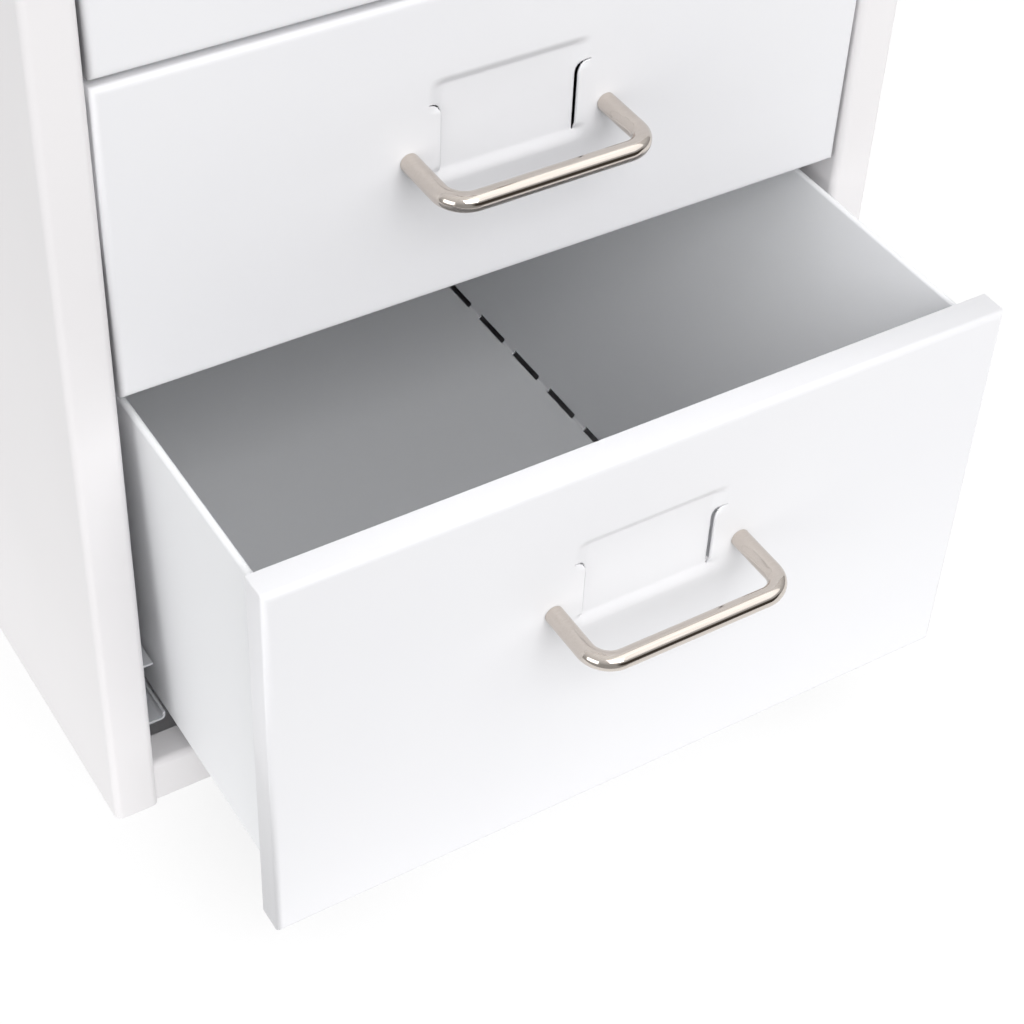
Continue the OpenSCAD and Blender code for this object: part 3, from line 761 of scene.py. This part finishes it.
COLUMNS = steps([(0, WIDE), (SLIT_X - BESIDE_SLIT, COARSE), (SLIT_X - SLIT, SLIT / 2),
                 (SLIT_X + SLIT, FINE), (POCKET_W / 2 + PAST_EDGE, 0)])
ROWS = steps([(-PAST_EDGE, COARSE), (FLAP_DROP - ABOVE_FLAP, FINE), (SLIT_TURN.y, 2 * COARSE),
              (SLIT_FOOT - PARTING, COARSE), (POCKET_H + PAST_EDGE, 0)])
print("columns in half a pocket:", len(COLUMNS), "rows:", len(ROWS))

# %% Fold a front's edges
FLANGE_DEPTH = 10 * MM
FRONT_BEND = 1.5 * MM
EVEN_EDGE = 0.7 * MM     # a cut this far inside each fold keeps the shading flat up to it


def on_face(face):
    """Whether a face lies in the flat of a front, at the middle of its sheet."""
    return all(abs(v.co.y - SHEET / 2) < TOUCH for v in face.verts)


def front_blank(half_width, height):
    """A front with its middle at x = 0, its outer face at y = 0 and its top at z = 0."""
    front = bmesh.new()
    x, top, foot = half_width - SHEET / 2, -SHEET / 2, SHEET / 2 - height
    flat_sheet(front, [(-x, SHEET / 2, foot), (x, SHEET / 2, foot),
                       (x, SHEET / 2, top), (-x, SHEET / 2, top)])
    folds = front.edges[:]
    flange = bmesh.ops.extrude_edge_only(front, edges=folds)["geom"]
    bmesh.ops.translate(front, verts=only(bmesh.types.BMVert, flange),
                        vec=(0, FLANGE_DEPTH - SHEET / 2, 0))
    bmesh.ops.bevel(front, geom=folds, offset=FRONT_BEND, segments=BEND_STEPS, profile=0.5,
                    affect="EDGES", material=-1)
    bmesh.ops.recalc_face_normals(front, faces=front.faces[:])
    inset = FRONT_BEND + EVEN_EDGE
    cut_planes(front, 0, (inset - x, x - inset), on_face)
    cut_planes(front, 2, (foot + inset, top - inset), on_face)
    print("front height in mm:", round(height / MM, 1))
    return front


# %% Press the pocket
SNAP = FINE * 0.55       # a vertex this near to a slit's edge is moved onto it


def press_pocket(front):
    """Draws the pocket into a front's face and parts the sheet along its slits."""
    cut_planes(front, 0, sorted({side * x for x in COLUMNS for side in (-1, 1)}), on_face)
    cut_planes(front, 2, [-POCKET_DROP - v for v in ROWS], on_face)
    for vert in [v for v in front.verts if abs(v.co.y - SHEET / 2) < TOUCH]:
        at = Vector((abs(vert.co.x), -POCKET_DROP - vert.co.z))
        offset = slit_offset(*at)
        beside = abs(abs(offset) - SLIT / 2) < SNAP and at.x < POCKET_W / 2
        if beside and SLIT_TOP < at.y < SLIT_TURN.y:
            radius = SLIT_BEND - math.copysign(SLIT / 2, offset)
            at = SLIT_TURN + (at - SLIT_TURN).normalized() * radius
        vert.co = (math.copysign(at.x, vert.co.x), SHEET / 2 + pressed_depth(*at),
                   -POCKET_DROP - at.y)
    parted = []
    for face in front.faces:
        middle = face.calc_center_median()
        x, v = abs(middle.x), -POCKET_DROP - middle.z
        in_slit = abs(slit_offset(x, v)) < SLIT / 2 - TOUCH and x < POCKET_W / 2
        if in_slit and SLIT_TOP < v < SLIT_FOOT:
            parted.append(face)
    bmesh.ops.delete(front, geom=parted, context="FACES")
    print("faces of a front:", len(front.faces), "parted:", len(parted))


# %% Fronts
for numbers in ([1], [2, 3, 4, 5]):
    low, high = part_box(f"drawer_{numbers[0]}_front")
    pattern = front_blank(high.x, high.z - low.z)
    press_pocket(pattern)
    for i in numbers:
        low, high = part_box(f"drawer_{i}_front")
        front = pattern.copy()
        bmesh.ops.translate(front, verts=front.verts[:], vec=(0, low.y, high.z))
        finished(front, f"pressed_front_{i}", f"drawer_{i}", "front_coat",
                 [f"drawer_{i}_front"], SHEET, burr=None, even=False)
    pattern.free()

# %% [markdown]
# ## Handles
#
# A handle is 6 mm steel wire, cut, bent twice round a former and plated. A curve with
# a round bevel could show it, but sweeping the wire's own section round each bend
# with the spin operator keeps the bends true arcs, as the former makes them.

# %% Draw and bend a wire
ROUND_STEPS = 48         # faces round a wire or a screw
ARC_STEPS = 16


def drawn_out(bm, edges, vec):
    """Draws the open end of a tube out straight and returns its new end."""
    geom = bmesh.ops.extrude_edge_only(bm, edges=edges)["geom"]
    bmesh.ops.translate(bm, verts=only(bmesh.types.BMVert, geom), vec=vec)
    return only(bmesh.types.BMEdge, geom)


def bent_round(bm, edges, centre):
    """Bends the open end of a tube by a right angle round the former."""
    bend = bmesh.ops.spin(bm, geom=edges, cent=centre, axis=(0, 0, 1), angle=math.radians(90),
                          steps=ARC_STEPS, use_merge=False)
    return only(bmesh.types.BMEdge, bend["geom_last"])


# %% Handles
WIRE = 6 * MM
WIRE_BEND = 8 * MM
CUT_EDGE, CUT_STEPS = 0.3 * MM, 3

for i in range(1, 6):
    name = f"drawer_{i}_handle"
    low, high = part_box(name)
    foot_x = high.x - WIRE / 2
    middle_z = (low.z + high.z) / 2
    bend_y = low.y + WIRE / 2 + WIRE_BEND
    leg = high.y - bend_y
    wire = bmesh.new()
    ring = bmesh.ops.create_circle(wire, segments=ROUND_STEPS, radius=WIRE / 2)["verts"]
    bmesh.ops.rotate(wire, verts=ring, matrix=Matrix.Rotation(math.radians(90), 3, "X"))
    bmesh.ops.translate(wire, verts=ring, vec=(-foot_x, high.y, middle_z))
    end = drawn_out(wire, wire.edges[:], (0, -leg, 0))
    end = bent_round(wire, end, (-foot_x + WIRE_BEND, bend_y, middle_z))
    end = drawn_out(wire, end, (2 * (foot_x - WIRE_BEND), 0, 0))
    end = bent_round(wire, end, (foot_x - WIRE_BEND, bend_y, middle_z))
    drawn_out(wire, end, (0, leg, 0))
    bmesh.ops.remove_doubles(wire, verts=wire.verts[:], dist=TOUCH)
    cuts = [e for e in wire.edges if len(e.link_faces) == 1]
    bmesh.ops.holes_fill(wire, edges=cuts, sides=0)
    bmesh.ops.bevel(wire, geom=cuts, offset=CUT_EDGE, segments=CUT_STEPS, profile=0.5,
                    affect="EDGES", material=-1)
    bmesh.ops.recalc_face_normals(wire, faces=wire.faces[:])
    finished(wire, f"wire_handle_{i}", f"drawer_{i}", "handle_wire", [name], burr=None)
print("handle feet apart in mm:", round(2 * foot_x / MM, 1))

# %% [markdown]
# ## Screws
#
# A screw's head is struck from the wire in a die, which leaves a low dome and the cross
# that the driver turns. The dome is a profile spun round the screw's axis. The cross
# could be a dark picture on it, but light falls into a real recess from every side, so
# the dome is cut along the cross and the cut pieces are pushed in.

# %% Strike a screw
HEAD_HEIGHT = 2.2 * MM
DOME_HEIGHT, DOME_STEPS = 0.7 * HEAD_HEIGHT, 6
CROSS_DEPTH = 0.6 * HEAD_HEIGHT
CROSS_LENGTH, CROSS_WIDTH = 0.56, 0.17       # half of each, as shares of the head's radius
DRAFT = 0.05             # share of the radius that the recess narrows by


def struck_screw(radius, length, shank):
    """A screw along Y with the top of its head at y = 0."""
    screw = bmesh.new()
    angles = [math.radians(90) * k / DOME_STEPS for k in range(DOME_STEPS + 1)]
    dome = [(radius * math.cos(a), DOME_HEIGHT * (math.sin(a) - 1)) for a in angles]
    line = [(0, -length), (shank, -length), (shank, -HEAD_HEIGHT), (radius, -HEAD_HEIGHT), *dome]
    chain = [screw.verts.new((r, y, 0)) for r, y in line]
    edges = [screw.edges.new(pair) for pair in zip(chain, chain[1:])]
    bmesh.ops.spin(screw, geom=[*chain, *edges], cent=(0, 0, 0), axis=(0, 1, 0),
                   angle=math.radians(360), steps=ROUND_STEPS, use_merge=True)
    bmesh.ops.remove_doubles(screw, verts=screw.verts[:], dist=TOUCH)
    marks = [m * radius for edge in (CROSS_WIDTH, CROSS_LENGTH) for m in (edge, edge - DRAFT)]
    for axis in (0, 2):
        cut_planes(screw, axis, [side * m for m in marks for side in (-1, 1)],
                   lambda face: all(v.co.y > -DOME_HEIGHT - TOUCH for v in face.verts))
    for v in screw.verts:
        across, along = sorted((abs(v.co.x) / radius, abs(v.co.z) / radius))
        in_cross = across < CROSS_WIDTH - DRAFT / 2 and along < CROSS_LENGTH - DRAFT / 2
        if in_cross and v.co.y > -DOME_HEIGHT:
            v.co.y = -CROSS_DEPTH
    return screw


# %% [markdown]
# The solids hold all the screws of one place in one node, so the node's mesh is taken
# apart again to find where each screw goes. That mesh is loose triangles, and only a
# copy of it is merged.

# %% Screws
BACK_SHANK, HANDLE_SHANK = 3.9 * MM / 2, 3 * MM / 2


def solids(name):
    """The lower and upper corner of each separate solid of a CAD node."""
    mesh = bmesh.new()
    mesh.from_mesh(frame["nodes"][name].data)
    bmesh.ops.remove_doubles(mesh, verts=mesh.verts[:], dist=TOUCH)
    left, boxes = set(mesh.verts), []
    while left:
        found, new = set(), {left.pop()}
        while new:
            found |= new
            new = {e.other_vert(v) for v in new for e in v.link_edges} & left
            left -= new
        boxes.append([Vector([pick(v.co[k] for v in found) for k in range(3)])
                      for pick in (min, max)])
    mesh.free()
    return boxes


for name in [n for n in frame["nodes"] if n.endswith("screws")]:
    at_back = name == "back_screws"
    holder = bpy.data.meshes.new(name)
    screws = bmesh.new()
    for low, high in solids(name):
        screw = struck_screw((high.x - low.x) / 2, high.y - low.y,
                             BACK_SHANK if at_back else HANDLE_SHANK)
        bmesh.ops.translate(screw, verts=screw.verts[:],
                            vec=((low.x + high.x) / 2, high.y, (low.z + high.z) / 2))
        screw.to_mesh(holder)
        screw.free()
        screws.from_mesh(holder)
    bpy.data.meshes.remove(holder)
    bmesh.ops.recalc_face_normals(screws, faces=screws.faces[:])
    print(name, "faces:", len(screws.faces))
    body = "cabinet" if at_back else name.removesuffix("_handle_screws")
    finished(screws, "struck_" + name, body, "zinc_fasteners", [name], burr=None)
